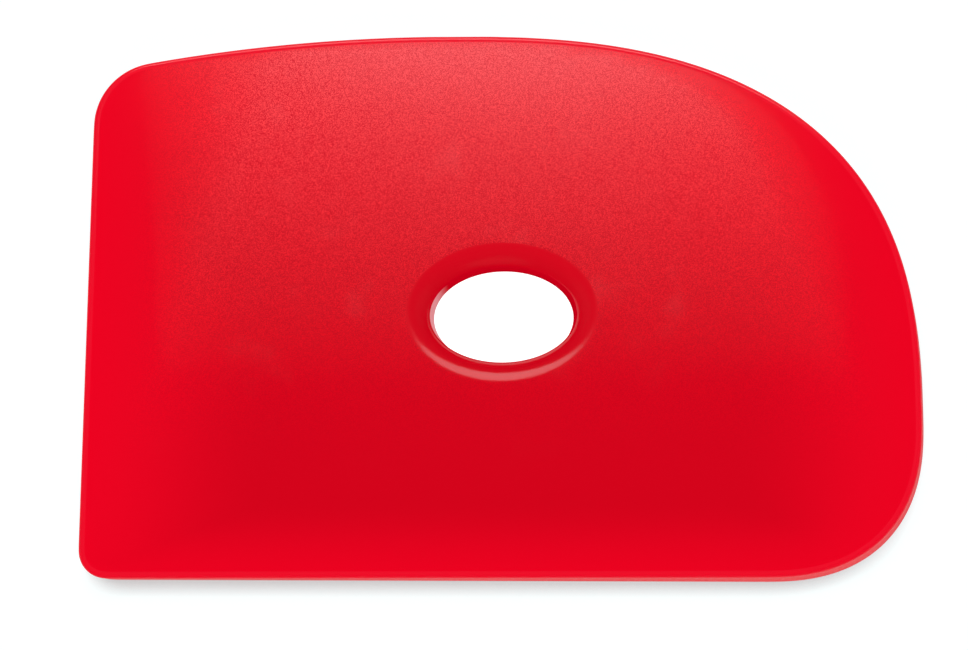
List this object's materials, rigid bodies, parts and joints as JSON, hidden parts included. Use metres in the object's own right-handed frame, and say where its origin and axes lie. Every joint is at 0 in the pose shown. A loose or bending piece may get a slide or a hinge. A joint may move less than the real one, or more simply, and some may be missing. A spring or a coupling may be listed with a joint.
{
  "type": "pottery rib",
  "caption": "Flat flexible pottery rib with one straight edge, a square end, a rounded nose, a softened rim and a dished oval finger hole, for shaping and smoothing clay.",
  "frame": {"origin": "middle of the back's bounding rectangle, on the back face that the rib lies on", "axes": "+X along the straight edge from the square end to the nose, +Y from the straight edge to the crown, +Z out of the front face with the softened rim"},
  "size_m": [0.0952, 0.0636, 0.0032],
  "materials": {
    "red_polyurethane": "soft cast polyurethane, red all through and slightly translucent at thin edges, with a fine matte grain on the flat faces and a smoother rim and dish"
  },
  "bodies": {
    "root": {"rib": "red_polyurethane"}
  },
  "joints": []
}
